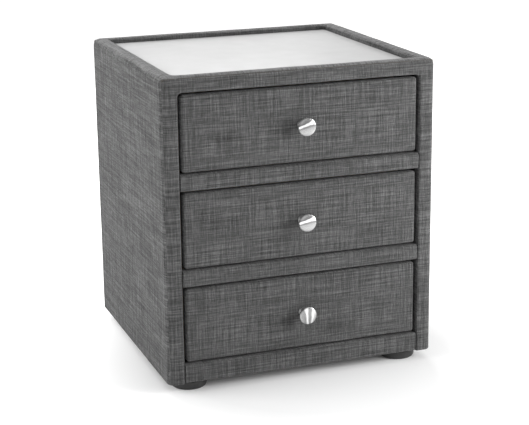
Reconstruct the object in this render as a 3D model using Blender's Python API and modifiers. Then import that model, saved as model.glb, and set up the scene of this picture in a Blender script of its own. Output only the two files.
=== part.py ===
"""Bedside chest with three drawers, upholstered in linen over a board case.

The case stands on four round feet and carries a glass top let into a raised rim.
Each drawer is a grooved box that slides on two runner strips screwed to the case sides.
Front is -Y, right is +X, up is +Z. The origin is on the floor, under the middle of the
whole bounding box, knobs included. All lengths are in metres.
"""

import math

import bpy
import bmesh
from mathutils import Vector

# Case
WIDTH = 0.430
DEPTH = 0.400  # front fabric to back fabric, without the knobs
HEIGHT = 0.480
FOOT_HEIGHT = 0.016
SIDE_WALL = 0.0255  # a side with its fabric, which is also the width of a stile
RAIL_DEPTH = 0.020  # front and back walls with their fabric
TOP_RAIL = 0.024
MIDDLE_RAIL = 0.025
BAY = 0.120  # clear height for one drawer
GLASS_DROP = 0.0085  # rim top down to the glass
GLASS_THICK = 0.005
TOP_BOARD_THICK = 0.009
BOTTOM_BOARD_THICK = 0.015
EDGE_RADIUS = 0.006

# Upholstery and fits
COVER = 0.0025  # linen with its thin wadding
GAP = 0.0003  # between pieces that touch
RUN = 0.0005  # around the glass

# Drawers
FRONT_GAP_SIDE = 0.0035
FRONT_GAP_TOP = 0.003
FRONT_GAP_BOTTOM = 0.002
FRONT_RECESS = 0.0015
FRONT_THICK = 0.0175
FRONT_RADIUS = 0.003
BOX_HALF_WIDTH = 0.184
BOX_SIDE = 0.012
BOX_LENGTH = 0.350
BOX_BOTTOM = 0.004
BOX_RISE = 0.006  # bay floor up to the drawer bottom
BOX_TOP = 0.103  # bay floor up to the box's upper edge
RUNNER_HEIGHT = 0.012
RUNNER_REACH = 0.0135
RUNNER_RISE = 0.056  # bay floor up to the runner's middle
GROOVE_DEPTH = 0.006
GROOVE_PLAY_TOP = 0.0004
GROOVE_PLAY_BOTTOM = 0.0016

# Knobs, feet and screws
KNOB_HEIGHT = 0.0222
KNOB_RADIUS = 0.0135
KNOB_BORE = 0.0022
FOOT_RADIUS = 0.0275
FOOT_SIDE_INSET = 0.042  # case side to foot centre
FOOT_FRONT_INSET = 0.038
SCREW_HOLE = 0.0023
FOOT_SCREW_DEPTH = 0.012  # into the bottom board

# Worked out from the above
KNOB_OUT = KNOB_HEIGHT + GAP - FRONT_RECESS
FRONT = -(DEPTH + KNOB_OUT) / 2 + KNOB_OUT
BACK = FRONT + DEPTH
HALF = WIDTH / 2
INNER = HALF - SIDE_WALL
BOTTOM_RAIL = HEIGHT - FOOT_HEIGHT - TOP_RAIL - 2 * MIDDLE_RAIL - 3 * BAY
GLASS_TOP = HEIGHT - GLASS_DROP
GLASS_BOTTOM = GLASS_TOP - GLASS_THICK
RIM_SKIRT = GLASS_BOTTOM
BOARD_OUT = HALF - COVER - GAP
BOARD_IN = INNER + COVER + GAP
SKIN_IN = COVER + GAP
DRAWER_FACE = FRONT + FRONT_RECESS
BOX_FRONT = DRAWER_FACE + FRONT_THICK + GAP
BOX_REAR = BOX_FRONT + BOX_LENGTH
BAY_FLOORS = {
    "lower": FOOT_HEIGHT + BOTTOM_RAIL,
    "middle": FOOT_HEIGHT + BOTTOM_RAIL + BAY + MIDDLE_RAIL,
    "upper": FOOT_HEIGHT + BOTTOM_RAIL + 2 * (BAY + MIDDLE_RAIL),
}
BEYOND = 0.01  # how far a cutter reaches past the face it opens
SIDES = {"left": -1, "right": 1}


def clear_scene():
    for obj in list(bpy.data.objects):
        bpy.data.objects.remove(obj, do_unlink=True)


def collection(name):
    made = bpy.data.collections.new(name)
    bpy.context.scene.collection.children.link(made)
    return made


def finish(name, colour, roughness, metallic=0.0):
    made = bpy.data.materials.new(name)
    made.use_nodes = True
    shader = made.node_tree.nodes["Principled BSDF"]
    shader.inputs["Base Color"].default_value = (*colour, 1.0)
    shader.inputs["Roughness"].default_value = roughness
    shader.inputs["Metallic"].default_value = metallic
    return made


clear_scene()
PARTS = collection("upholstered_bedside_chest")
CUTTERS = collection("cutters")
LINEN = finish("linen", (0.13, 0.13, 0.13), 0.95)
BOARD = finish("board", (0.42, 0.30, 0.19), 0.8)
BOX_WOOD = finish("box_wood", (0.62, 0.50, 0.36), 0.6)
GLASS = finish("white_glass", (0.84, 0.84, 0.83), 0.08)
STEEL = finish("brushed_steel", (0.72, 0.72, 0.72), 0.28, 1.0)
ZINC = finish("zinc_screw", (0.6, 0.6, 0.58), 0.4, 1.0)
PLASTIC = finish("black_plastic", (0.02, 0.02, 0.02), 0.45)


def link(obj, name, target, material=None):
    """Names an object, puts it in one collection only and gives it its material."""
    obj.name = name
    obj.data.name = name
    for other in list(obj.users_collection):
        other.objects.unlink(obj)
    target.objects.link(obj)
    if material:
        obj.data.materials.append(material)
    return obj


def as_cutter(obj):
    obj.hide_render = True
    obj.display_type = "WIRE"
    return obj


def cube(low, high):
    """A cube stretched between two corners, its scale applied."""
    low, high = Vector(low), Vector(high)
    bpy.ops.mesh.primitive_cube_add(size=1, location=(low + high) / 2)
    obj = bpy.context.object
    obj.scale = high - low
    bpy.ops.object.transform_apply(location=False, rotation=False, scale=True)
    return obj


def edge_sides(edge, half):
    """Which side of the box an edge is on along X, Y and Z: -1, 0 or 1."""
    middle = (edge.verts[0].co + edge.verts[1].co) / 2
    return tuple(round(middle[i] / half[i]) for i in range(3))


def round_edges(obj, wanted, radius, segments=3):
    """Rounds the box edges whose sides are in wanted."""
    half = obj.dimensions / 2
    mesh = bmesh.new()
    mesh.from_mesh(obj.data)
    edges = [e for e in mesh.edges if edge_sides(e, half) in wanted]
    bmesh.ops.bevel(
        mesh, geom=edges, offset=radius, offset_type="OFFSET",
        segments=segments, profile=0.5, affect="EDGES",
    )
    mesh.to_mesh(obj.data)
    mesh.free()


def block(name, low, high, material, rounded=(), radius=EDGE_RADIUS):
    obj = link(cube(low, high), name, PARTS, material)
    if rounded:
        round_edges(obj, set(rounded), radius)
    return obj


def subtract(obj, cutter):
    step = obj.modifiers.new("cut", "BOOLEAN")
    step.operation = "DIFFERENCE"
    step.solver = "EXACT"
    step.object = cutter


def cut_box(obj, low, high):
    name = f"cut_{obj.name}_{len(obj.modifiers)}"
    subtract(obj, as_cutter(link(cube(low, high), name, CUTTERS)))


def drill(obj, start, end, radius):
    """Cuts a round hole from start to end, which lie on one axis line."""
    start, end = Vector(start), Vector(end)
    bpy.ops.mesh.primitive_cylinder_add(
        vertices=16, radius=radius, depth=(end - start).length, location=(start + end) / 2
    )
    cutter = bpy.context.object
    cutter.rotation_euler = (end - start).to_track_quat("Z", "Y").to_euler()
    name = f"drill_{obj.name}_{len(obj.modifiers)}"
    subtract(obj, as_cutter(link(cutter, name, CUTTERS)))


def turned(name, profile, material, closed, steps=32):
    """A turned solid about Z; the profile starts at the top and runs down the outside."""
    mesh = bpy.data.meshes.new(name)
    count = len(profile)
    edges = [(i, i + 1) for i in range(count - 1)]
    if closed:
        edges.append((count - 1, 0))
    mesh.from_pydata([(r, 0.0, z) for r, z in profile], edges, [])
    obj = bpy.data.objects.new(name, mesh)
    PARTS.objects.link(obj)
    mesh.materials.append(material)
    screw = obj.modifiers.new("turn", "SCREW")
    screw.steps = steps
    screw.render_steps = steps
    screw.use_merge_vertices = True
    screw.merge_threshold = 0.00001
    screw.use_smooth_shade = True
    return obj


def arc(centre, radius, start, end, count):
    """Profile points (radius from the axis, height) along an arc, in degrees."""
    points = []
    for i in range(count):
        angle = math.radians(start + (end - start) * i / (count - 1))
        points.append((centre[0] + radius * math.cos(angle), centre[1] + radius * math.sin(angle)))
    return points


def point_forward(obj):
    """Turns a piece made about +Z to point along -Y."""
    obj.rotation_euler = (math.radians(90), 0.0, 0.0)


# ---------------------------------------------------------------- case boards


def side_board(side, sign):
    xs = sorted((sign * BOARD_IN, sign * BOARD_OUT))
    block(
        f"side_board_{side}",
        (xs[0], FRONT + SKIN_IN, FOOT_HEIGHT),
        (xs[1], BACK - SKIN_IN, HEIGHT - SKIN_IN),
        BOARD,
        rounded=[(sign, -1, 0), (sign, 0, 1)],
        radius=0.003,
    )


def back_board():
    reach = BOARD_IN - GAP
    block(
        "back_board",
        (-reach, BACK - RAIL_DEPTH + SKIN_IN, FOOT_HEIGHT),
        (reach, BACK - SKIN_IN, HEIGHT - SKIN_IN),
        BOARD,
    )


def bottom_board():
    reach = BOARD_IN - GAP
    board = block(
        "bottom_board",
        (-reach, FRONT + RAIL_DEPTH + GAP, FOOT_HEIGHT),
        (reach, BACK - RAIL_DEPTH + COVER, FOOT_HEIGHT + BOTTOM_BOARD_THICK),
        BOARD,
    )
    for x, y in foot_places().values():
        drill(board, (x, y, 0), (x, y, FOOT_HEIGHT + FOOT_SCREW_DEPTH + 0.001), SCREW_HOLE)


def top_board():
    reach = BOARD_IN - GAP
    top = GLASS_BOTTOM - GAP
    block(
        "top_board",
        (-reach, FRONT + RAIL_DEPTH + GAP, top - TOP_BOARD_THICK),
        (reach, BACK - RAIL_DEPTH + COVER, top),
        BOARD,
    )


def glass_top():
    reach = INNER - RUN
    glass = block(
        "glass_top",
        (-reach, FRONT + RAIL_DEPTH + RUN, GLASS_BOTTOM),
        (reach, BACK - RAIL_DEPTH - RUN, GLASS_TOP),
        GLASS,
    )
    every_edge = [(x, y, 0) for x in (-1, 1) for y in (-1, 1)]
    every_edge += [(x, 0, 1) for x in (-1, 1)] + [(0, y, 1) for y in (-1, 1)]
    round_edges(glass, set(every_edge), 0.0008, segments=2)


# ------------------------------------------------------------- fabric and rails


def side_cover(side, sign):
    """Linen over one side, round its front edge and over the rim down to the glass."""
    xs = sorted((sign * INNER, sign * HALF))
    cover = block(
        f"side_cover_{side}",
        (xs[0], FRONT, FOOT_HEIGHT),
        (xs[1], BACK - SKIN_IN, HEIGHT),
        LINEN,
        rounded=[(sign, -1, 0), (sign, 0, 1), (0, -1, 1)],
    )
    inside = sorted((sign * (INNER + COVER), sign * (HALF - COVER)))
    cut_box(
        cover,
        (inside[0], FRONT + COVER, -BEYOND),
        (inside[1], BACK + BEYOND, HEIGHT - COVER),
    )
    lining = sorted((sign * (INNER - BEYOND), sign * (INNER + COVER + 0.001)))
    cut_box(
        cover,
        (lining[0], FRONT + RAIL_DEPTH, -BEYOND),
        (lining[1], BACK + BEYOND, RIM_SKIRT),
    )
    cut_box(
        cover,
        (lining[0], BACK - RAIL_DEPTH + COVER, RIM_SKIRT - BEYOND),
        (lining[1], BACK + BEYOND, HEIGHT - COVER),
    )


def back_cover():
    """Linen over the back, and over the back of the rim down to the glass."""
    cover = block(
        "back_cover",
        (-HALF, BACK - RAIL_DEPTH, FOOT_HEIGHT),
        (HALF, BACK, HEIGHT),
        LINEN,
    )
    cut_box(
        cover,
        (-HALF - BEYOND, BACK - RAIL_DEPTH - BEYOND, FOOT_HEIGHT - BEYOND),
        (HALF + BEYOND, BACK - COVER, RIM_SKIRT),
    )
    cut_box(
        cover,
        (-HALF - BEYOND, BACK - RAIL_DEPTH + COVER, RIM_SKIRT - BEYOND),
        (HALF + BEYOND, BACK - COVER, HEIGHT - COVER),
    )
    for sign in SIDES.values():
        ends = sorted((sign * (INNER - GAP), sign * (HALF + BEYOND)))
        cut_box(
            cover,
            (ends[0], BACK - RAIL_DEPTH - BEYOND, RIM_SKIRT - BEYOND),
            (ends[1], BACK - COVER, HEIGHT + BEYOND),
        )


def rail(name, low, high):
    """A wooden bar between the stiles, wrapped in linen."""
    reach = INNER - GAP
    cover = block(
        f"{name}_cover",
        (-reach, FRONT, low),
        (reach, FRONT + RAIL_DEPTH, high),
        LINEN,
        rounded=[(0, -1, -1), (0, -1, 1)],
        radius=0.003,
    )
    cut_box(
        cover,
        (-HALF, FRONT + COVER, low + COVER),
        (HALF, FRONT + RAIL_DEPTH - COVER, high - COVER),
    )
    block(
        f"{name}_core",
        (-reach, FRONT + SKIN_IN, low + SKIN_IN),
        (reach, FRONT + RAIL_DEPTH - SKIN_IN, high - SKIN_IN),
        BOARD,
    )


def runner(drawer, side, sign, floor):
    xs = sorted((sign * (BOARD_IN - GAP), sign * (BOARD_IN - GAP - RUNNER_REACH)))
    middle = floor + RUNNER_RISE
    block(
        f"runner_{drawer}_{side}",
        (xs[0], FRONT + RAIL_DEPTH + 0.004, middle - RUNNER_HEIGHT / 2),
        (xs[1], BACK - RAIL_DEPTH, middle + RUNNER_HEIGHT / 2),
        BOX_WOOD,
        rounded=[(-sign, -1, 0)],
        radius=0.002,
    )


# ------------------------------------------------------------------------ feet


def foot_places():
    across = HALF - FOOT_SIDE_INSET
    rows = {"front": FRONT + FOOT_FRONT_INSET, "back": BACK - FOOT_FRONT_INSET}
    return {
        f"{row}_{side}": (sign * across, y) for row, y in rows.items() for side, sign in SIDES.items()
    }


def foot(place, x, y):
    """A turned foot with a stepped hole for its screw."""
    top = FOOT_HEIGHT - GAP
    soft = 0.0015
    step = 0.009
    profile = [(SCREW_HOLE, top), (FOOT_RADIUS - 0.0006, top), (FOOT_RADIUS, top - 0.0006)]
    profile += arc((FOOT_RADIUS - soft, soft), soft, 0, -90, 4)
    profile += [(0.0055, 0.0), (0.0055, step), (SCREW_HOLE, step)]
    piece = turned(f"foot_{place}", profile, PLASTIC, closed=True)
    piece.location = (x, y, 0.0)
    head = step - GAP
    shank = 0.0019
    tip = FOOT_HEIGHT + FOOT_SCREW_DEPTH
    profile = [(0.0, tip), (shank, tip - 0.003), (shank, head), (0.0044, head)]
    profile += [(0.0044, head - 0.0015), (0.003, head - 0.003), (0.0, head - 0.003)]
    screw = turned(f"foot_screw_{place}", profile, ZINC, closed=False, steps=16)
    screw.location = (x, y, 0.0)


# --------------------------------------------------------------------- drawers


def knob(name, height):
    """A mushroom knob and the screw that holds it through the drawer front."""
    crown = KNOB_HEIGHT
    band = 0.0014
    profile = [(0.0, crown), (KNOB_RADIUS * 0.55, crown - 0.0003)]
    profile += arc((KNOB_RADIUS - band, crown - 0.0008 - band), band, 80, 0, 4)
    profile += arc((KNOB_RADIUS - band, crown - 0.0048), band, 0, -70, 3)
    profile += [(0.0085, crown - 0.0076), (0.0058, crown - 0.0104), (0.0050, crown - 0.0140)]
    profile += [(0.0052, 0.0045), (0.0066, 0.0018), (0.0080, 0.0012), (0.0080, 0.0)]
    profile += [(KNOB_BORE, 0.0), (KNOB_BORE, 0.0130), (0.0, 0.0130)]
    piece = turned(name, profile, STEEL, closed=False)
    piece.location = (0.0, DRAWER_FACE - GAP, height)
    point_forward(piece)
    shank = 0.0018
    length = FRONT_THICK + 0.010
    profile = [(0.0, length), (shank, length - 0.001), (shank, -GAP), (0.0042, -GAP)]
    profile += [(0.0042, -0.0012), (0.0028, -0.0022), (0.0, -0.0022)]
    screw = turned(f"{name}_screw", profile, ZINC, closed=False, steps=16)
    screw.location = (0.0, BOX_FRONT - GAP, height)
    point_forward(screw)
    return [piece, screw]


def drawer_front(drawer, floor):
    reach = INNER - FRONT_GAP_SIDE
    low, high = floor + FRONT_GAP_BOTTOM, floor + BAY - FRONT_GAP_TOP
    rear = DRAWER_FACE + FRONT_THICK
    corners = [(x, 0, z) for x in (-1, 1) for z in (-1, 1)]
    face_edges = [(x, -1, 0) for x in (-1, 1)] + [(0, -1, z) for z in (-1, 1)]
    cover = block(
        f"{drawer}_drawer_front_cover",
        (-reach, DRAWER_FACE, low),
        (reach, rear, high),
        LINEN,
        rounded=corners + face_edges,
        radius=FRONT_RADIUS,
    )
    cut_box(
        cover,
        (-reach + COVER, DRAWER_FACE + COVER, low + COVER),
        (reach - COVER, rear + BEYOND, high - COVER),
    )
    board = block(
        f"{drawer}_drawer_front_board",
        (-reach + SKIN_IN, DRAWER_FACE + SKIN_IN, low + SKIN_IN),
        (reach - SKIN_IN, rear, high - SKIN_IN),
        BOARD,
    )
    height = (low + high) / 2
    for piece in (cover, board):
        drill(piece, (0, FRONT - BEYOND, height), (0, rear + BEYOND, height), SCREW_HOLE)
    return [cover, board] + knob(f"{drawer}_knob", height)


def drawer_box(drawer, floor):
    base = floor + BOX_RISE
    bottom = block(
        f"{drawer}_drawer_bottom",
        (-BOX_HALF_WIDTH, BOX_FRONT, base),
        (BOX_HALF_WIDTH, BOX_REAR, base + BOX_BOTTOM),
        BOX_WOOD,
    )
    low, high = base + BOX_BOTTOM + GAP, floor + BOX_TOP
    inside = BOX_HALF_WIDTH - BOX_SIDE
    rear = block(
        f"{drawer}_drawer_back",
        (-inside + GAP, BOX_REAR - BOX_SIDE, low),
        (inside - GAP, BOX_REAR, high),
        BOX_WOOD,
    )
    pieces = [bottom, rear]
    middle = floor + RUNNER_RISE
    for side, sign in SIDES.items():
        xs = sorted((sign * inside, sign * BOX_HALF_WIDTH))
        wall = block(
            f"{drawer}_drawer_side_{side}",
            (xs[0], BOX_FRONT, low),
            (xs[1], BOX_REAR, high),
            BOX_WOOD,
        )
        groove = sorted((sign * (BOX_HALF_WIDTH - GROOVE_DEPTH), sign * (BOX_HALF_WIDTH + BEYOND)))
        cut_box(
            wall,
            (groove[0], BOX_FRONT + 0.003, middle - RUNNER_HEIGHT / 2 - GROOVE_PLAY_BOTTOM),
            (groove[1], BOX_REAR + BEYOND, middle + RUNNER_HEIGHT / 2 + GROOVE_PLAY_TOP),
        )
        pieces.append(wall)
    return pieces


def slide_empty(drawer, floor):
    """The empty on a drawer's slide axis, which its pieces are parented to."""
    made = bpy.data.objects.new(f"{drawer}_drawer_slide", None)
    made.location = (0.0, DRAWER_FACE, floor + RUNNER_RISE)
    made.empty_display_size = 0.02
    PARTS.objects.link(made)
    return made


def main():
    for side, sign in SIDES.items():
        side_board(side, sign)
        side_cover(side, sign)
    back_board()
    back_cover()
    bottom_board()
    top_board()
    glass_top()
    rail("bottom_rail", FOOT_HEIGHT, FOOT_HEIGHT + BOTTOM_RAIL)
    rail("lower_rail", BAY_FLOORS["lower"] + BAY, BAY_FLOORS["middle"])
    rail("upper_rail", BAY_FLOORS["middle"] + BAY, BAY_FLOORS["upper"])
    rail("top_rail", HEIGHT - TOP_RAIL, HEIGHT)
    for place, (x, y) in foot_places().items():
        foot(place, x, y)
    for drawer, floor in BAY_FLOORS.items():
        for side, sign in SIDES.items():
            runner(drawer, side, sign, floor)
        slide = slide_empty(drawer, floor)
        for piece in drawer_front(drawer, floor) + drawer_box(drawer, floor):
            piece.parent = slide
            piece.location -= slide.location


main()
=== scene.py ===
"""Looks of the upholstered bedside chest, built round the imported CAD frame.

The linen covers, knobs and feet are remade here as fine surfaces on the CAD's own boxes.
The glass, boards, drawer boxes, runners and screws stay as CAD nodes with new materials.
Lengths are in metres; front is -Y, right is +X, up is +Z.
"""

import math
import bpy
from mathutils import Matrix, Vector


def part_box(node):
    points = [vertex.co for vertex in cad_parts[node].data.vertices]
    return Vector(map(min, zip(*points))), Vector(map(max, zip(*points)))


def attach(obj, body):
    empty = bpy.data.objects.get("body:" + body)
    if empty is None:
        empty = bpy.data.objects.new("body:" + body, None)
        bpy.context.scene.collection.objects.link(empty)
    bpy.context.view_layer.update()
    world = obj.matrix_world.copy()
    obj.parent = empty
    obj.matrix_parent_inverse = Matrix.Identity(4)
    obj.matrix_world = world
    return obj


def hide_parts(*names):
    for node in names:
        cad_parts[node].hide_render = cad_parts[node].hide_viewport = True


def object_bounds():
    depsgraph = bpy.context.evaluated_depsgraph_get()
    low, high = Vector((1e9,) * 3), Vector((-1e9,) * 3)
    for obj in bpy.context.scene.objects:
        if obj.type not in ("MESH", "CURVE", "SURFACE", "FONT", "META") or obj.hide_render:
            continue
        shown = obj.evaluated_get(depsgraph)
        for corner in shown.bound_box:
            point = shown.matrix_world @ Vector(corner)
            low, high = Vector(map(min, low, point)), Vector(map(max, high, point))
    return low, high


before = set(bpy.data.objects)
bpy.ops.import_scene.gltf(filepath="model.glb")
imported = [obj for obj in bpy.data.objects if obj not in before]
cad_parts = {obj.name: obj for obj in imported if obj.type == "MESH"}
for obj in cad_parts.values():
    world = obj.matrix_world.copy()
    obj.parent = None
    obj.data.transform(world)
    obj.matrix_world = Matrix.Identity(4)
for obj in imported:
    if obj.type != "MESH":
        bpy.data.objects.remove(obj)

from types import SimpleNamespace

import bmesh
import bpy
import numpy as np
from mathutils import Matrix, Vector, noise

CAD_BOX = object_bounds()

DRAWERS = ("upper", "middle", "lower")
SIDES = ("left", "right")
RAILS = ("upper_rail", "lower_rail", "bottom_rail")
FEET = [f"{row}_{side}" for row in ("front", "back") for side in SIDES]

# Painted reflections: greys across the face of a knob, whose light and dark stripes stand in for the
# studio's light reflected in the steel, from its lower edge at 0 to its upper edge at 1: (place, grey)
ONE_PAINTED_REFLECTION = ((0.0, 0.26), (0.20, 0.38), (0.43, 0.34), (0.52, 0.16), (0.58, 0.80), (0.66, 0.95),
            (0.74, 0.14), (0.84, 0.24), (1.0, 0.50))
TWO_PAINTED_REFLECTIONS = ((0.0, 0.28), (0.14, 0.46), (0.26, 0.80), (0.38, 0.24), (0.48, 0.26), (0.57, 0.90),
             (0.68, 0.24), (0.84, 0.30), (1.0, 0.44))
KNOB_PAINTED_REFLECTIONS = ((16.0, ONE_PAINTED_REFLECTION), (11.0, ONE_PAINTED_REFLECTION), (94.0, TWO_PAINTED_REFLECTIONS))  # degrees from level
CAP_FRONT = 0.0042  # from the tip of a knob to where its painted reflection stripes begin to fade
CAP_BACK = 0.0068  # and to where its back begins, painted a plain darker grey as shade

# Shapes of the upholstery
CELL = 0.014  # grid of the case's cover
PAD_CELL = 0.009  # grid of the bars and drawer fronts
SHELL_RADIUS = 0.0112  # outer edges of the case
RIM_RADIUS = 0.0076  # inner edge of the rim round the glass
LIP_RADIUS = 0.0034  # edges round the drawer opening
HEM_RADIUS = 0.0022  # lowest edge of the case
CORNER_RADIUS = 0.0065  # corners of the drawer opening and of the inset
RAIL_RADIUS = 0.0048  # edges of a bar
RAIL_END = 0.2  # of that radius is left along X at a bar's ends
RAIL_SEAM = 0.0004  # more than the CAD's gap between a bar's left end and the stile
RAIL_SWELL = 0.0004  # how far the middle of a bar's face stands forward
DRAWER_RADIUS = 0.0045  # edges of a drawer front
DRAWER_SLACK = 0.0006  # less than the CAD cover at each edge of a drawer front
DRAWER_BACK_GAP = 0.0005  # between the back of a drawer's linen and that of its CAD cover
DRAWN_IN = 0.0010  # how far the linen is pulled back along the edges of a drawer front
FULLNESS = 0.0016  # how far its middle stands before those edges
FOLD_STEP = 0.0015  # from the corner of the inset to the fold across the rim
FOLD_WIDTH = 0.0011  # from the bottom of a fold to its sides
FOLD_DEPTH = 0.0007
HIDE = 0.0002  # how far linen stops short of, or passes, the board behind it
WAVE = 0.00028  # unevenness of the wadding under the linen
WAVE_LENGTH = 0.055

# Looks of the linen
WEAVE_PITCH = 0.0022  # between the bumps of the weave
MIDDLE_SHADE = 0.54  # the shade that the contrast is stretched about
RIM_PAINTED_SHEEN_SHIFT = 0.26  # how much lighter the pattern is painted on top of the rim: painted sheen
RIM_PAINTED_SHEEN_GAIN = 1.8  # how much brighter its colour is painted there: the same painted sheen

# Edges taken off the CAD nodes
BOARD_EDGE = 0.0022
CORE_EDGE = 0.0018
WOOD_EDGE = 0.0008

# The floor's glow, which starts round this point and grows outwards
GLOW_CENTRE = (0.04, -0.12)
GLOW_START, GLOW_END = 0.22, 0.50
GLOW_LEAST, GLOW_MOST = 0.02, 0.62

# Camera, by its angles in degrees and its distance from the point that it looks at
CAMERA_AZIMUTH = -19.8
CAMERA_ELEVATION = 15.5
CAMERA_ROLL = -0.7
CAMERA_DISTANCE = 2.408
CAMERA_AIM = (0.0, -0.020, 0.2183)
CAMERA_LENS = 102.5


# ------------------------------------------------------------------ node helpers


class Shader:
    """A material's node tree, with short calls for the nodes that these materials use."""

    def __init__(self, name):
        self.material = bpy.data.materials.new(name)
        self.material.use_nodes = True
        self.tree = self.material.node_tree
        self.principled = self.tree.nodes["Principled BSDF"]
        self.position = self.node("ShaderNodeTexCoord").outputs["Object"]
        self.facing = self.node("ShaderNodeTexCoord").outputs["Normal"]

    def node(self, kind, **settings):
        made = self.tree.nodes.new(kind)
        for name, value in settings.items():
            setattr(made, name, value)
        return made

    def feed(self, socket, value):
        """Links a socket to another, sets it to a constant, or leaves it for None."""
        if isinstance(value, bpy.types.NodeSocket):
            self.tree.links.new(value, socket)
        elif value is not None:
            socket.default_value = value

    def math(self, operation, a, b=None):
        made = self.node("ShaderNodeMath", operation=operation)
        for socket, value in zip(made.inputs, (a, b)):
            self.feed(socket, value)
        return made.outputs[0]

    def split(self, vector):
        made = self.node("ShaderNodeSeparateXYZ")
        self.feed(made.inputs[0], vector)
        return made.outputs

    def join(self, x=0.0, y=0.0, z=0.0):
        made = self.node("ShaderNodeCombineXYZ")
        for socket, value in zip(made.inputs, (x, y, z)):
            self.feed(socket, value)
        return made.outputs[0]

    def noise(self, vector, scale=1.0, detail=2.0, roughness=0.5, distortion=0.0):
        made = self.node("ShaderNodeTexNoise")
        self.feed(made.inputs["Vector"], vector)
        made.inputs["Scale"].default_value = scale
        made.inputs["Detail"].default_value = detail
        made.inputs["Roughness"].default_value = roughness
        made.inputs["Distortion"].default_value = distortion
        return made.outputs["Fac"]

    def spread(self, value, low, high, to_low=0.0, to_high=1.0):
        """Maps low..high to to_low..to_high, clamped."""
        made = self.node("ShaderNodeMapRange")
        for socket, number in zip(made.inputs, (value, low, high, to_low, to_high)):
            self.feed(socket, number)
        return made.outputs[0]

    def ramp(self, value, stops):
        """Colours by position: stops are (place, (r, g, b))."""
        made = self.node("ShaderNodeValToRGB")
        self.feed(made.inputs[0], value)
        elements = made.color_ramp.elements
        while len(elements) < len(stops):
            elements.new(0.5)
        for element, (place, colour) in zip(elements, stops):
            element.position = place
            element.color = (*colour, 1.0)
        return made.outputs[0]

    def bump(self, height, distance, strength):
        made = self.node("ShaderNodeBump")
        made.inputs["Strength"].default_value = strength
        made.inputs["Distance"].default_value = distance
        self.feed(made.inputs["Height"], height)
        return made.outputs[0]

    def surface(self, **values):
        """Sets or links the Principled sockets: base_color becomes Base Color."""
        for name, value in values.items():
            socket = self.principled.inputs[name.replace("_", " ").title().replace("Ior", "IOR")]
            if isinstance(value, tuple) and len(value) == 3:
                value = (*value, 1.0)
            self.feed(socket, value)
        return self.material


# --------------------------------------------------------------------- materials


def grey(level):
    return (level, level, level)


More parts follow.
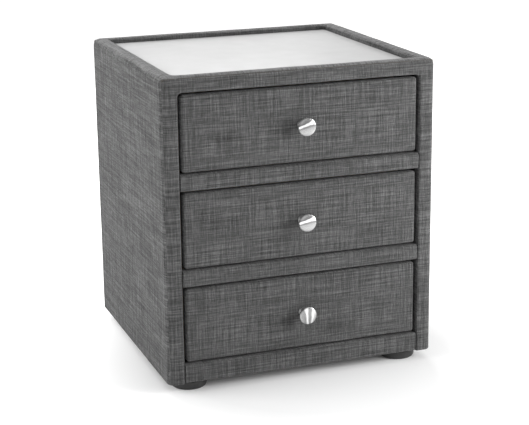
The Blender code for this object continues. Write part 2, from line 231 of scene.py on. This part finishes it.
def linen():
    """Grey slub linen: threads across and along, uneven in thickness and shade, with a painted sheen on
    top of the rim.
    """
    s = Shader("slub_linen")
    x, y, z = s.split(s.position)
    nx, ny, nz = (s.math("ABSOLUTE", n) for n in s.split(s.facing))
    sideways = s.math("MULTIPLY", s.math("GREATER_THAN", nx, ny), s.math("GREATER_THAN", nx, nz))
    upward = s.math("MULTIPLY", s.math("GREATER_THAN", nz, ny), s.math("GREATER_THAN", nz, nx))
    across = s.math("ADD", s.math("MULTIPLY", x, s.math("SUBTRACT", 1.0, sideways)),
                    s.math("MULTIPLY", y, sideways))
    along = s.math("ADD", s.math("MULTIPLY", z, s.math("SUBTRACT", 1.0, upward)),
                   s.math("MULTIPLY", y, upward))
    layer = s.math("ADD", s.math("MULTIPLY", sideways, 3.7), s.math("MULTIPLY", upward, 7.3))

    def threads(fine, seed, detail, up, flat):
        """Streaks both ways: fine is their count per metre, up and flat those end to end."""
        made = []
        for u, v, long in ((across, along, up), (along, across, flat)):
            place = s.join(s.math("MULTIPLY", u, fine), s.math("MULTIPLY", v, long),
                           s.math("ADD", layer, seed + len(made) * 11.0))
            made.append(s.noise(place, detail=detail, roughness=0.6))
        return made

    slub_up, slub_flat = threads(fine=430.0, seed=1.0, detail=2.0, up=17.0, flat=12.0)
    yarn_up, yarn_flat = threads(fine=950.0, seed=30.0, detail=1.0, up=110.0, flat=80.0)
    band_up, band_flat = threads(fine=120.0, seed=60.0, detail=2.0, up=16.0, flat=8.0)
    slub_up = s.spread(slub_up, 0.33, 0.68)
    slub_flat = s.spread(slub_flat, 0.33, 0.68)
    yarn = s.math("ADD", s.spread(yarn_up, 0.3, 0.7), s.spread(yarn_flat, 0.3, 0.7))
    band = s.math("ADD", s.math("MULTIPLY", band_up, 0.5), band_flat)

    # The side walls show less of the level threads. The contrast of all of them is stretched, more on
    # the side walls, where it is partly painted shade of the thread relief
    level_weight = s.spread(sideways, 0.0, 1.0, 1.20, 0.90)
    contrast_and_side_shade = s.spread(sideways, 0.0, 1.0, 1.1, 1.6)
    slubs = s.math("ADD", slub_up, s.math("MULTIPLY", slub_flat, level_weight))
    shade = s.math("ADD", s.math("MULTIPLY", slubs, 0.28), s.math("MULTIPLY", yarn, 0.15))
    shade = s.math("ADD", shade, s.math("MULTIPLY", band, 0.14))
    shade = s.math("MULTIPLY", s.math("SUBTRACT", shade, MIDDLE_SHADE), contrast_and_side_shade)
    shade = s.math("ADD", shade, MIDDLE_SHADE)

    # Painted sheen: on top of the rim the linen is painted lighter, standing in for the sheen of its
    # threads
    on_top = s.math("GREATER_THAN", z, CAD_BOX[1][2] - SHELL_RADIUS)
    rim = s.math("MULTIPLY", s.spread(nz, 0.45, 0.95), on_top)
    shade = s.math("ADD", shade, s.math("MULTIPLY", rim, RIM_PAINTED_SHEEN_SHIFT))
    colour = s.ramp(shade, [(0.16, grey(0.026)), (MIDDLE_SHADE, grey(0.070)), (0.90, grey(0.146))])
    painted_sheen = s.node("ShaderNodeVectorMath", operation="SCALE")
    s.feed(painted_sheen.inputs[0], colour)
    s.feed(painted_sheen.inputs["Scale"], s.spread(rim, 0.0, 1.0, 1.0, RIM_PAINTED_SHEEN_GAIN))

    pitch = math.tau / WEAVE_PITCH
    weave = s.math("MULTIPLY", s.math("SINE", s.math("MULTIPLY", across, pitch)),
                   s.math("SINE", s.math("MULTIPLY", along, pitch)))
    height = s.math("ADD", s.math("MULTIPLY", weave, 0.22), s.math("ADD", slubs, yarn))
    s.principled.inputs["Sheen Weight"].default_value = 0.12
    s.principled.inputs["Sheen Roughness"].default_value = 0.4
    return s.surface(base_color=painted_sheen.outputs[0], roughness=s.spread(shade, 0.2, 0.9, 0.98, 0.84),
                     normal=s.bump(height, distance=0.0008, strength=0.85),
                     specular_ior_level=0.22)


def white_glass():
    """Clear glass over white paint: gloss above a slightly uneven pale layer."""
    s = Shader("white_painted_glass")
    tone = s.ramp(s.noise(s.position, scale=9.0, detail=3.0),
                  [(0.3, grey(0.72)), (0.7, grey(0.75))])
    wipe = s.spread(s.noise(s.position, scale=34.0, detail=4.0), 0.3, 0.7, 0.20, 0.23)
    return s.surface(base_color=tone, roughness=wipe, specular_ior_level=0.4)


def brushed_steel(drawer, turn, reflection_greys):
    """Satin steel of one knob, with painted reflections: light and dark stripes in its colour at an
    angle in degrees, and its back painted darker as shade; the greys are (place, grey).
    """
    s = Shader(f"brushed_steel_{drawer}")
    low, high = (Vector(v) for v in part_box(f"{drawer}_knob"))
    centre, radius = (low + high) / 2, (high.x - low.x) / 2
    spin = s.node("ShaderNodeVectorRotate", rotation_type="Y_AXIS")
    s.feed(spin.inputs["Vector"], s.position)
    spin.inputs["Center"].default_value = centre
    spin.inputs["Angle"].default_value = math.radians(turn)
    x, y, z = s.split(spin.outputs[0])
    x = s.math("DIVIDE", s.math("SUBTRACT", x, centre.x), radius)
    z = s.math("DIVIDE", s.math("SUBTRACT", z, centre.z), radius)
    stroke = s.join(s.math("MULTIPLY", x, 1.2), s.math("MULTIPLY", y, 300.0),
                    s.math("MULTIPLY", z, 42.0))
    fine = s.noise(stroke, detail=3.0, roughness=0.7)
    sway = s.noise(s.join(s.math("MULTIPLY", x, 1.5), 0.0, s.math("MULTIPLY", z, 2.0)), detail=1.0)
    # The painted reflection stripes fan out towards +X, sway a little and break up along the brush
    # strokes
    fan = s.math("ADD", 1.0, s.math("MULTIPLY", x, -0.42))
    place = s.math("ADD", s.math("MULTIPLY", s.math("SUBTRACT", z, 0.1), fan), 0.1)
    place = s.math("ADD", place, s.math("MULTIPLY", s.math("SUBTRACT", sway, 0.5), 0.30))
    place = s.math("ADD", place, s.math("MULTIPLY", s.math("SUBTRACT", fine, 0.5), 0.14))
    place = s.spread(place, -1.0, 1.0)
    face = s.ramp(place, [(at, grey(tone)) for at, tone in reflection_greys])
    cap = s.spread(s.split(s.position)[1], low.y + CAP_FRONT, low.y + CAP_BACK)
    # Behind the face the knob is painted a plain darker grey: painted shade on its neck and back
    both = s.node("ShaderNodeMix", data_type="RGBA")
    s.feed(both.inputs["Factor"], cap)
    s.feed(both.inputs["A"], face)
    both.inputs["B"].default_value = (0.22, 0.22, 0.22, 1.0)
    normal = s.bump(fine, distance=0.00008, strength=0.4)
    return s.surface(base_color=both.outputs["Result"], metallic=1.0, normal=normal,
                     roughness=s.spread(fine, 0.2, 0.8, 0.22, 0.34))


def black_plastic():
    """Black moulded plastic with a fine grain and faint scuffs."""
    s = Shader("black_moulded_plastic")
    grain = s.noise(s.position, scale=900.0, detail=2.0)
    scuff = s.noise(s.position, scale=60.0, detail=4.0, distortion=0.6)
    colour = s.ramp(scuff, [(0.35, grey(0.012)), (0.75, grey(0.030))])
    return s.surface(base_color=colour, roughness=s.spread(scuff, 0.3, 0.7, 0.38, 0.52),
                     normal=s.bump(grain, distance=0.0001, strength=0.4))


def fibreboard():
    """Fibreboard stained dark, as the case's boards are inside and below."""
    s = Shader("stained_fibreboard")
    fibre = s.noise(s.position, scale=1400.0, detail=3.0, roughness=0.7)
    patch = s.noise(s.position, scale=40.0, detail=3.0)
    mixed = s.math("ADD", s.math("MULTIPLY", fibre, 0.7), s.math("MULTIPLY", patch, 0.3))
    colour = s.ramp(mixed, [(0.3, (0.030, 0.028, 0.026)), (0.7, (0.070, 0.065, 0.060))])
    return s.surface(base_color=colour, roughness=0.85,
                     normal=s.bump(fibre, distance=0.0002, strength=0.5))


def birch(name, lengthwise, depth=1.0):
    """Pale lacquered birch, its grain running along X or Y; depth below 1 darkens it."""
    s = Shader(name)
    x, y, z = s.split(s.position)
    run, side = (x, y) if lengthwise == "X" else (y, x)
    place = s.join(s.math("MULTIPLY", run, 5.0), s.math("MULTIPLY", side, 85.0),
                   s.math("MULTIPLY", z, 85.0))
    figure = s.noise(place, detail=4.0, roughness=0.6, distortion=0.8)
    pores = s.noise(s.join(s.math("MULTIPLY", run, 90.0), s.math("MULTIPLY", side, 1500.0),
                           s.math("MULTIPLY", z, 1500.0)), detail=2.0)
    mixed = s.math("ADD", s.math("MULTIPLY", figure, 0.7), s.math("MULTIPLY", pores, 0.3))
    grain = [(0.3, (0.42, 0.29, 0.17)), (0.52, (0.58, 0.44, 0.29)), (0.75, (0.68, 0.55, 0.39))]
    colour = s.ramp(mixed, [(at, tuple(depth * c for c in tone)) for at, tone in grain])
    return s.surface(base_color=colour, roughness=s.spread(figure, 0.3, 0.7, 0.42, 0.58),
                     normal=s.bump(pores, distance=0.00015, strength=0.4))


def black_lining():
    """Thin non-woven cloth glued behind each drawer front."""
    s = Shader("black_lining")
    felt = s.noise(s.position, scale=1800.0, detail=3.0, roughness=0.8)
    dots = s.noise(s.position, scale=420.0, detail=1.0)
    colour = s.ramp(felt, [(0.3, grey(0.020)), (0.7, grey(0.055))])
    return s.surface(base_color=colour, roughness=0.95,
                     normal=s.bump(s.math("ADD", felt, dots), distance=0.0002, strength=0.6))


def zinc():
    """Zinc plate of the screws, slightly spangled."""
    s = Shader("zinc_plate")
    spangle = s.noise(s.position, scale=700.0, detail=2.0)
    colour = s.ramp(spangle, [(0.3, (0.42, 0.42, 0.40)), (0.7, (0.66, 0.66, 0.62))])
    return s.surface(base_color=colour, metallic=1.0,
                     roughness=s.spread(spangle, 0.3, 0.7, 0.28, 0.45))


def pale_floor():
    """White floor that glows a little away from the object, so it runs into the white world."""
    s = Shader("pale_floor")
    tone = s.ramp(s.noise(s.position, scale=3.0, detail=2.0), [(0.3, grey(0.905)), (0.7, grey(0.915))])
    x, y = (s.math("SUBTRACT", v, c) for v, c in zip(s.split(s.position), GLOW_CENTRE))
    away = s.math("SQRT", s.math("ADD", s.math("MULTIPLY", x, x), s.math("MULTIPLY", y, y)))
    s.principled.inputs["Emission Color"].default_value = (1.0, 1.0, 1.0, 1.0)
    return s.surface(base_color=tone, roughness=0.85, specular_ior_level=0.1,
                     emission_strength=s.spread(away, GLOW_START, GLOW_END, GLOW_LEAST, GLOW_MOST))


LINEN = linen()
GLASS = white_glass()
PLASTIC = black_plastic()
BOARD = fibreboard()
BIRCH_X = birch("birch_across", "X")
BIRCH_Y = birch("birch_along", "Y")
RUNNER_WOOD = birch("runner_wood", "Y", depth=0.35)
LINING = black_lining()
ZINC = zinc()


# ------------------------------------------------------------------ mesh helpers


def add_object(name, mesh, material):
    mesh.name = name
    obj = bpy.data.objects.new(name, mesh)
    bpy.context.scene.collection.objects.link(obj)
    obj.data.materials.append(material)
    return obj


def smooth(obj, angle):
    """Smooth shading that keeps large faces flat between their rounded edges."""
    obj.data.shade_smooth()
    obj.data.set_sharp_from_angle(angle=math.radians(angle))
    normals = obj.modifiers.new("flat_faces", "WEIGHTED_NORMAL")
    normals.keep_sharp = True


def grid_lines(planes, cell):
    """The planes, with even lines between those that are further apart than a cell."""
    lines = []
    for low, high in zip(planes, planes[1:]):
        count = max(1, round((high - low) / cell))
        lines += [low + (high - low) * i / count for i in range(count)]
    return lines + [planes[-1]]


def cell_solid(xs, ys, zs, filled):
    """The skin of the grid cells that filled(x, y, z) picks by their middles."""
    lines = [np.array(v) for v in (xs, ys, zs)]
    middles = [(v[1:] + v[:-1]) / 2 for v in lines]
    solid = np.zeros([len(m) + 2 for m in middles], bool)
    for i, x in enumerate(middles[0]):
        for j, y in enumerate(middles[1]):
            for k, z in enumerate(middles[2]):
                solid[i + 1, j + 1, k + 1] = filled(x, y, z)
    mesh = bmesh.new()
    corners = {}

    def corner(*place):
        if place not in corners:
            corners[place] = mesh.verts.new([lines[a][place[a]] for a in range(3)])
        return corners[place]

    for axis in range(3):
        ahead = np.roll(solid, -1, axis)
        u, v = (axis + 1) % 3, (axis + 2) % 3
        for cell in np.argwhere(solid != ahead):
            quad = []
            for du, dv in ((0, 0), (1, 0), (1, 1), (0, 1)):
                place = [0, 0, 0]
                place[axis] = cell[axis]
                place[u] = cell[u] - 1 + du
                place[v] = cell[v] - 1 + dv
                quad.append(corner(*place))
            if not solid[tuple(cell)]:
                quad.reverse()
            mesh.faces.new(quad)
    return mesh


def bevel(mesh, edges, radius, segments):
    bmesh.ops.bevel(mesh, geom=edges, offset=radius, offset_type="OFFSET",
                    segments=segments, profile=0.5, affect="EDGES", clamp_overlap=True)


def sharp_edges(mesh, angle=60.0):
    """The edges where two faces meet at more than an angle."""
    limit = math.radians(angle)
    return [e for e in mesh.edges if e.is_manifold and e.calc_face_angle() > limit]


def near(a, b):
    return abs(a - b) < 0.00005


def unevenness(point, seed):
    """Gentle waves of the wadding at a point, from about -1 to 1."""
    place = Vector(point) / WAVE_LENGTH + Vector((seed, -seed, 2.0 * seed))
    return noise.noise(place) + 0.5 * noise.noise(place * 2.3)


def rumple(mesh, seed, amount=WAVE):
    """Moves each point along its normal by the unevenness of the wadding."""
    mesh.normal_update()
    moves = [(v, v.normal * unevenness(v.co, seed) * amount) for v in mesh.verts]
    for vertex, move in moves:
        vertex.co += move


def soft_block(low, high, radius, arc_steps):
    """A box with round edges, on a grid that is fine at the edges."""
    bend = [radius * math.tan(math.radians(45.0) * i / arc_steps) for i in range(arc_steps + 1)]
    axes = []
    for a in range(3):
        start = [low[a] + radius - b for b in reversed(bend)]
        end = [high[a] - radius + b for b in bend]
        axes.append(start[:-1] + grid_lines([start[-1], end[0]], PAD_CELL)[:-1] + end)
    mesh = cell_solid(*axes, lambda x, y, z: True)
    inner_low, inner_high = low + radius, high - radius
    for vertex in mesh.verts:
        place = np.array(vertex.co)
        core = np.clip(place, inner_low, inner_high)
        away = place - core
        vertex.co = core + away * (radius / np.linalg.norm(away))
    return mesh


def fold(mesh, y, inside):
    """Presses a fold line into the linen at a y, over the faces that are inside."""
    for side in (-FOLD_WIDTH, 0.0, FOLD_WIDTH):
        parts = set()
        for face in mesh.faces:
            if all(inside(v.co) for v in face.verts):
                parts.update([face], face.edges, face.verts)
        bmesh.ops.bisect_plane(mesh, geom=list(parts), plane_co=(0, y + side, 0),
                               plane_no=(0, 1, 0), dist=0.00002)
    mesh.normal_update()
    for vertex in mesh.verts:
        if near(vertex.co.y, y) and inside(vertex.co):
            vertex.co -= vertex.normal * FOLD_DEPTH


def turned(profile, centre, forward, steps=96):
    """A turned solid: profile is (radius, height) from its tip to its base, on the axis at both ends."""
    mesh = bmesh.new()
    turn = Vector((0, 0, 1)).rotation_difference(Vector(forward)).to_matrix()
    rings = []
    for radius, height in profile:
        if radius < 1e-7:
            rings.append([mesh.verts.new(turn @ Vector((0, 0, height)) + Vector(centre))])
            continue
        ring = []
        for i in range(steps):
            angle = math.tau * i / steps
            place = Vector((radius * math.cos(angle), radius * math.sin(angle), height))
            ring.append(mesh.verts.new(turn @ place + Vector(centre)))
        rings.append(ring)
    for upper, lower in zip(rings, rings[1:]):
        for i in range(steps):
            j = (i + 1) % steps
            if len(upper) == 1:
                mesh.faces.new((upper[0], lower[i], lower[j]))
            elif len(lower) == 1:
                mesh.faces.new((upper[i], lower[0], upper[j]))
            else:
                mesh.faces.new((upper[i], lower[i], lower[j], upper[j]))
    return mesh


def arc(centre, radius, start, end, count):
    """Profile points along an arc, angles in degrees from straight out."""
    points = []
    for i in range(count):
        angle = math.radians(start + (end - start) * i / (count - 1))
        points.append((centre[0] + radius * math.cos(angle), centre[1] + radius * math.sin(angle)))
    return points


def finished(mesh, name, material, body, nodes, angle=50.0):
    """Makes the piece, lets it ride on its body and hides the CAD nodes that it stands for."""
    made = bpy.data.meshes.new(name)
    mesh.to_mesh(made)
    mesh.free()
    obj = add_object(name, made, material)
    smooth(obj, angle)
    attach(obj, body)
    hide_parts(*nodes)
    return obj


# -------------------------------------------------------------------- upholstery


def case_planes():
    """Where the walls of the case's cover lie, its openings and the boards under it."""
    left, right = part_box("side_cover_left"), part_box("side_cover_right")
    top_rail, back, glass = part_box("top_rail_cover"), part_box("back_cover"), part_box("glass_top")
    return SimpleNamespace(
        x_out=right[1][0], x_lip=right[0][0], x_board=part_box("side_board_right")[0][0] + HIDE,
        y_front=left[0][1], y_rail=top_rail[1][1],
        y_board=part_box("back_board")[0][1] + HIDE, y_rim=back[0][1], y_back=back[1][1],
        z_low=left[0][2] - HIDE, z_open=top_rail[0][2],
        z_skirt=glass[0][2] - HIDE, z_high=left[1][2])


def case_skin(at):
    """The cover with sharp edges, on a grid that is fine near the corners of its openings."""

    def filled(x, y, z):
        x = abs(x)
        if z > at.z_skirt:
            return x > at.x_lip or y < at.y_rail or y > at.y_rim
        if x > at.x_board or y > at.y_board:
            return True
        return y < at.y_rail and (x > at.x_lip or z > at.z_open)

    arc_angles = [math.radians(7.5 * i) for i in range(5, 0, -1)]
    bend = [CORNER_RADIUS - CORNER_RADIUS * math.tan(a) for a in arc_angles] + [CORNER_RADIUS]
    unbend = list(reversed(bend))
    lip = [at.x_lip - b for b in unbend]
    xs = [-at.x_out, -at.x_board, -at.x_lip] + [-x for x in reversed(lip)]
    xs += lip + [at.x_lip, at.x_board, at.x_out]
    ys = [at.y_front, at.y_rail] + [at.y_rail + b for b in bend]
    ys += [at.y_rim - b for b in unbend] + [at.y_rim, at.y_board, at.y_back]
    zs = [at.z_low] + [at.z_open - b for b in unbend] + [at.z_open, at.z_skirt, at.z_high]
    return cell_solid(grid_lines(xs, CELL), grid_lines(ys, CELL), grid_lines(zs, CELL), filled)


def pull_corner(vertex, x_lip, other, place, way):
    """Moves a point near an inside corner onto the arc that rounds it. The corner is where X is
    x_lip to either side and the other axis is at a place: way is +1 or -1 from there inwards."""
    side = 1 if vertex.co.x > 0 else -1
    dx = vertex.co.x * side - (x_lip - CORNER_RADIUS)
    dv = (vertex.co[other] - place) * -way + CORNER_RADIUS
    if min(dx, dv) <= 1e-6 or max(dx, dv) > CORNER_RADIUS + 1e-6:
        return
    keep = max(dx, dv) / math.hypot(dx, dv)
    vertex.co.x = (x_lip - CORNER_RADIUS + dx * keep) * side
    vertex.co[other] = place - way * (dv * keep - CORNER_RADIUS)


def round_openings(mesh, at):
    """Rounds the top corners of the drawer opening and the four corners of the inset."""
    for vertex in mesh.verts:
        if vertex.co.y < at.y_rail + HIDE and vertex.co.z < at.z_open + HIDE:
            pull_corner(vertex, at.x_lip, 2, at.z_open, -1)
        elif vertex.co.z > at.z_skirt - HIDE:
            pull_corner(vertex, at.x_lip, 1, at.y_rail, 1)
            pull_corner(vertex, at.x_lip, 1, at.y_rim, -1)


def drop_level_lines(mesh, planes):
    """Dissolves the grid lines of (axis, place) planes where they cross level faces, because a
    line beside an edge would make its bevel smaller."""
    mesh.normal_update()
    spare = []
    for edge in mesh.edges:
        if not edge.is_manifold or edge.calc_face_angle() >= 0.01:
            continue
        facing = edge.link_faces[0].normal
        if any(abs(facing[axis]) < 0.5 and all(near(abs(v.co[axis]), place) for v in edge.verts)
               for axis, place in planes):
            spare.append(edge)
    bmesh.ops.dissolve_edges(mesh, edges=spare, use_verts=True)


def round_case_edges(mesh, at):
    """Bevels the outer edges, then those of the rim, of the drawer opening and of the hem."""

    def on(edge, axis, place):
        return all(near(v.co[axis], place) for v in edge.verts)

    def outer(edge):
        return sum([on(edge, 0, -at.x_out), on(edge, 0, at.x_out), on(edge, 1, at.y_front),
                    on(edge, 1, at.y_back), on(edge, 2, at.z_high)]) >= 2

    def lip(edge):
        return on(edge, 1, at.y_front) and not on(edge, 2, at.z_low)

    bevel(mesh, [e for e in sharp_edges(mesh) if outer(e)], SHELL_RADIUS, segments=8)
    bevel(mesh, [e for e in sharp_edges(mesh) if on(e, 2, at.z_high)], RIM_RADIUS, segments=6)
    bevel(mesh, [e for e in sharp_edges(mesh) if lip(e)], LIP_RADIUS, segments=5)
    bevel(mesh, sharp_edges(mesh), HEM_RADIUS, segments=4)


def case_upholstery():
    """The one continuous cover: sides, back, rim, stiles and top rail."""
    at = case_planes()
    mesh = case_skin(at)
    round_openings(mesh, at)
    drop_level_lines(mesh, ((0, at.x_board), (1, at.y_board), (2, at.z_skirt)))
    round_case_edges(mesh, at)

    def on_rim_side(place):
        return abs(place.x) > at.x_lip - HIDE and place.z > at.z_high - SHELL_RADIUS - HIDE

    for y in (at.y_rail + FOLD_STEP, at.y_rim - FOLD_STEP):
        fold(mesh, y, on_rim_side)
    rumple(mesh, seed=3.1)
    nodes = ("side_cover_left", "side_cover_right", "back_cover", "top_rail_cover")
    return finished(mesh, "case_upholstery", LINEN, "case", nodes)


def rail_upholstery(rail, seed):
    """The padded linen sleeve of one bar between the stiles."""
    low, high = (np.array(v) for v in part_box(f"{rail}_cover"))
    low[0] += RAIL_SEAM
    mesh = soft_block(low, high, RAIL_RADIUS, arc_steps=4)
    middle, half = (low + high) / 2, (high - low) / 2
    for vertex in mesh.verts:
        from_end = half[0] - abs(vertex.co.x - middle[0])
        if from_end < RAIL_RADIUS:
            outward = 1 if vertex.co.x > middle[0] else -1
            vertex.co.x += outward * from_end * (1 - RAIL_END)
        across = min(1.0, abs(vertex.co.z - middle[2]) / half[2])
        if vertex.co.y < middle[1]:
            vertex.co.y -= RAIL_SWELL * (1 - across**2)
    rumple(mesh, seed)
    obj = finished(mesh, f"{rail}_upholstery", LINEN, "case", (f"{rail}_cover",))
    return obj


def drawer_upholstery(drawer, seed):
    """The padded linen face of a drawer: full in the middle and drawn in at its edges."""
    low, high = (np.array(v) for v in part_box(f"{drawer}_drawer_front_cover"))
    low += (DRAWER_SLACK, 0.0, DRAWER_SLACK)
    high -= (DRAWER_SLACK, DRAWER_BACK_GAP, DRAWER_SLACK)
    mesh = soft_block(low, high, DRAWER_RADIUS, arc_steps=6)
    middle, half = (low + high) / 2, (high - low) / 2
    for vertex in mesh.verts:
        u = min(1.0, abs(vertex.co.x - middle[0]) / half[0])
        w = min(1.0, abs(vertex.co.z - middle[2]) / half[2])
        if vertex.co.y < middle[1]:
            vertex.co.y += DRAWN_IN - FULLNESS * (1 - u**8) * (1 - w**4)
    rumple(mesh, seed, 1.3 * WAVE)
    nodes = (f"{drawer}_drawer_front_cover",)
    name = f"{drawer}_drawer_upholstery"
    obj = finished(mesh, name, LINEN, f"{drawer}_drawer", nodes)
    return obj


# ------------------------------------------------------------------ knobs and feet


def steel_knob(drawer, turn, reflection_greys):
    """The mushroom knob: crowned face, thin rim band, hollowed neck and small base."""
    low, high = (np.array(v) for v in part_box(f"{drawer}_knob"))
    radius, length = (high[0] - low[0]) / 2, high[1] - low[1]
    crown = 0.0009  # how far the face is domed
    rim, back = 0.0011, 0.0012  # how round the head is before and behind its band
    band = (0.0030, 0.0034)  # where the band ends and where it turns inwards, behind the face
    neck = ((0.78, 0.0052), (0.58, 0.0072), (0.44, 0.0096), (0.39, 0.0128))
    base = ((0.40, 0.0050), (0.46, 0.0028), (0.56, 0.0016), (0.60, 0.0008), (0.60, 0.0))
    face = length - crown
    profile = [(0.0, length)]
    profile += [(radius * 0.9 * t, length - crown * 0.8 * t**2) for t in (0.25, 0.5, 0.75, 0.9, 1.0)]
    profile += arc((radius - rim, face - rim), rim, 70, 0, 6)
    profile += [(radius, face - band[0])]
    profile += arc((radius - back, face - band[1]), back, 0, -80, 5)
    profile += [(radius * share, face - depth) for share, depth in neck]
    profile += [(radius * share, height) for share, height in base] + [(0.0, 0.0)]
    mesh = turned(profile, ((low[0] + high[0]) / 2, high[1], (low[2] + high[2]) / 2), (0, -1, 0))
    name = f"{drawer}_knob_steel"
    steel = brushed_steel(drawer, turn, reflection_greys)
    return finished(mesh, name, steel, f"{drawer}_drawer",
                    (f"{drawer}_knob",), angle=40.0)


def moulded_foot(place):
    """A round foot: a low drum with a soft lower edge and a recess for its screw."""
    low, high = (np.array(v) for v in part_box(f"foot_{place}"))
    radius, height = (high[0] - low[0]) / 2, high[2] - low[2]
    collar, edge = 0.0022, 0.0010  # how much narrower the top is, and how round
    shoulder = ((0.0010, 0.0028), (0.0, 0.0034))  # inward and down, where the collar ends
    soft = 0.0042  # how round the lower edge is
    well, depth, chamfer = 0.0055, 0.009, 0.0008  # the recess
    profile = [(0.0, height), (radius - collar, height)]
    profile += arc((radius - collar, height - edge), edge, 90, 0, 4)
    profile += [(radius - inward, height - down) for inward, down in shoulder]
    profile += arc((radius - soft, soft), soft, 0, -90, 9)
    profile += [(well + chamfer, 0.0), (well, chamfer), (well, depth), (0.0, depth)]
    centre = ((low[0] + high[0]) / 2, (low[1] + high[1]) / 2, low[2])
    mesh = turned(profile, centre, (0, 0, 1))
    return finished(mesh, f"foot_{place}_moulded", PLASTIC, "case",
                    (f"foot_{place}",), angle=40.0)


# ---------------------------------------------------------------- carried-over nodes


def dress(node, material, soften=0.0):
    """Gives a CAD node its material, and takes the sharpness off its edges."""
    obj = bpy.data.objects[node]
    obj.data.materials.clear()
    obj.data.materials.append(material)
    if soften:
        edge = obj.modifiers.new("soft_edges", "BEVEL")
        edge.width = soften
        edge.segments = 2
        edge.limit_method = "ANGLE"
        edge.angle_limit = math.radians(50)


def dress_nodes():
    """Dresses every CAD node that stays: glass, boards, cores, screws, drawer boxes, runners."""
    dress("glass_top", GLASS)
    for board in ("side_board_left", "side_board_right", "back_board", "bottom_board", "top_board"):
        dress(board, BOARD, soften=BOARD_EDGE)
    for rail in RAILS + ("top_rail",):
        dress(f"{rail}_core", BOARD, soften=CORE_EDGE)
    for place in FEET:
        dress(f"foot_screw_{place}", ZINC)
    for drawer in DRAWERS:
        dress(f"{drawer}_knob_screw", ZINC)
        dress(f"{drawer}_drawer_front_board", LINING, soften=BOARD_EDGE)
        dress(f"{drawer}_drawer_back", BIRCH_X, soften=WOOD_EDGE)
        dress(f"{drawer}_drawer_bottom", BIRCH_X)
        for side in SIDES:
            dress(f"{drawer}_drawer_side_{side}", BIRCH_Y, soften=WOOD_EDGE)
            dress(f"runner_{drawer}_{side}", RUNNER_WOOD, soften=WOOD_EDGE)


# ------------------------------------------------------------- floor, light, camera


def stage_floor():
    """The pale floor under the feet."""
    bpy.ops.mesh.primitive_plane_add(size=12.0, location=(0.0, 0.0, CAD_BOX[0][2]))
    floor = bpy.context.object
    floor.name = "studio_floor"
    floor.data.materials.append(pale_floor())


def area_light(name, place, aim, size, power):
    """A rectangular softbox that looks at a point: size in metres, power in watts."""
    data = bpy.data.lights.new(name, "AREA")
    data.shape = "RECTANGLE"
    data.size, data.size_y = size
    data.energy = power
    light = bpy.data.objects.new(name, data)
    light.location = place
    light.rotation_euler = (Vector(aim) - Vector(place)).to_track_quat("-Z", "Y").to_euler()
    bpy.context.scene.collection.objects.link(light)


def studio_light():
    """Soft light from the left and from above the back, and a nearer one from the front right."""
    middle = (0.0, 0.0, 0.25)
    area_light("left_softbox", (-2.2, 0.3, 0.9), middle, (1.6, 1.6), 45.0)
    area_light("front_right_softbox", (1.0, -0.95, 0.60), middle, (0.6, 0.6), 19.0)
    area_light("back_top_softbox", (0.0, 2.0, 1.6), middle, (2.0, 1.0), 30.0)
    world = bpy.data.worlds.new("studio")
    world.use_nodes = True
    nodes, links = world.node_tree.nodes, world.node_tree.links
    ambient = nodes["Background"]
    ambient.inputs["Color"].default_value = (1.0, 1.0, 1.0, 1.0)
    ambient.inputs["Strength"].default_value = 0.5
    white = nodes.new("ShaderNodeBackground")
    white.inputs["Color"].default_value = (1.0, 1.0, 1.0, 1.0)
    seen = nodes.new("ShaderNodeMixShader")
    links.new(nodes.new("ShaderNodeLightPath").outputs["Is Camera Ray"], seen.inputs[0])
    links.new(ambient.outputs[0], seen.inputs[1])
    links.new(white.outputs[0], seen.inputs[2])
    links.new(seen.outputs[0], nodes["World Output"].inputs["Surface"])
    bpy.context.scene.world = world
    bpy.context.scene.view_settings.view_transform = "Standard"


def photo_camera():
    """The camera at the object's front left, a little above it, without depth of field."""
    azimuth, elevation = math.radians(CAMERA_AZIMUTH), math.radians(CAMERA_ELEVATION)
    back = Vector((math.sin(azimuth) * math.cos(elevation),
                   -math.cos(azimuth) * math.cos(elevation), math.sin(elevation)))
    roll = Matrix.Rotation(math.radians(CAMERA_ROLL), 3, "Z")
    data = bpy.data.cameras.new("photo_camera")
    data.lens = CAMERA_LENS
    data.sensor_width = 36.0
    data.clip_start = 0.05
    data.clip_end = 50.0
    camera = bpy.data.objects.new("photo_camera", data)
    camera.rotation_euler = (back.to_track_quat("Z", "Y").to_matrix() @ roll).to_euler()
    camera.location = Vector(CAMERA_AIM) + back * CAMERA_DISTANCE
    bpy.context.scene.collection.objects.link(camera)
    bpy.context.scene.camera = camera


def main():
    case_upholstery()
    for i, rail in enumerate(RAILS):
        rail_upholstery(rail, seed=5.0 + i)
    for i, (drawer, painted_reflection) in enumerate(zip(DRAWERS, KNOB_PAINTED_REFLECTIONS)):
        drawer_upholstery(drawer, seed=11.0 + i)
        # each knob gets its own painted reflection, turned to its own angle
        steel_knob(drawer, *painted_reflection)
    for place in FEET:
        moulded_foot(place)
    dress_nodes()
    stage_floor()
    studio_light()
    photo_camera()


main()
